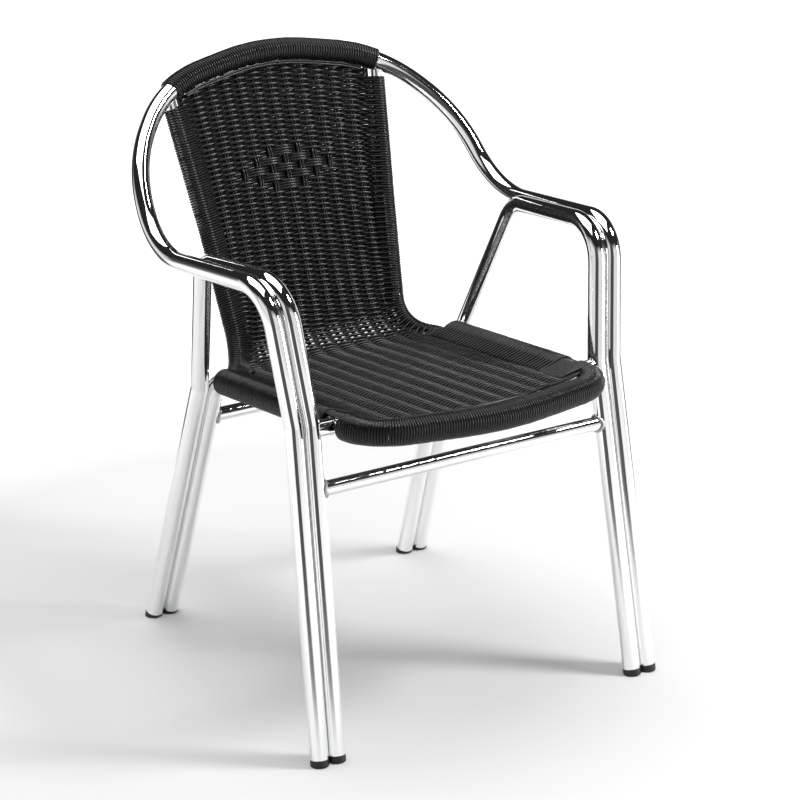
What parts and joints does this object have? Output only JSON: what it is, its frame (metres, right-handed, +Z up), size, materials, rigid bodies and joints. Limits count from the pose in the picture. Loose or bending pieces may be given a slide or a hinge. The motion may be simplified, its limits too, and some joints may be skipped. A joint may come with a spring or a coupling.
{
  "type": "rattan bistro chair",
  "caption": "Stacking bistro armchair: bent aluminium tube frame with paired legs and arms, woven plastic rattan seat and back with wrapped edges, black foot caps.",
  "frame": {"origin": "on the floor, under the middle of the chair's box", "axes": "+Z up, -Y the way the chair faces, +X the sitter's left"},
  "size_m": [0.5742, 0.6279, 0.8063],
  "materials": {
    "frame_tube": "polished",
    "weld_bead": "satin",
    "rattan_strand": "satin black extruded strand",
    "foot_cap": "satin black"
  },
  "bodies": {
    "root": {"hoop_tube": "frame_tube", "side_tube_left": "frame_tube", "side_tube_right": "frame_tube", "seat_frame_tube": "frame_tube", "back_tube_left": "frame_tube", "back_tube_right": "frame_tube", "front_crossbar": "frame_tube", "rear_crossbar": "frame_tube", "seat_spacer_left": "frame_tube", "seat_spacer_right": "frame_tube", "front_crossbar_weld_left": "weld_bead", "front_crossbar_weld_right": "weld_bead", "rear_crossbar_weld_left": "weld_bead", "rear_crossbar_weld_right": "weld_bead", "foot_cap_front_outer_left": "foot_cap", "foot_cap_front_inner_left": "foot_cap", "foot_cap_rear_outer_left": "foot_cap", "foot_cap_rear_inner_left": "foot_cap", "foot_cap_front_outer_right": "foot_cap", "foot_cap_front_inner_right": "foot_cap", "foot_cap_rear_outer_right": "foot_cap", "foot_cap_rear_inner_right": "foot_cap", "top_wrap": "rattan_strand", "top_binding_strand": "rattan_strand", "back_edge_wrap_left": "rattan_strand", "back_edge_wrap_right": "rattan_strand", "seat_edge_wrap_left": "rattan_strand", "seat_edge_wrap_right": "rattan_strand", "front_edge_wrap": "rattan_strand", "seat_weave": "rattan_strand", "back_weave": "rattan_strand"}
  },
  "joints": []
}
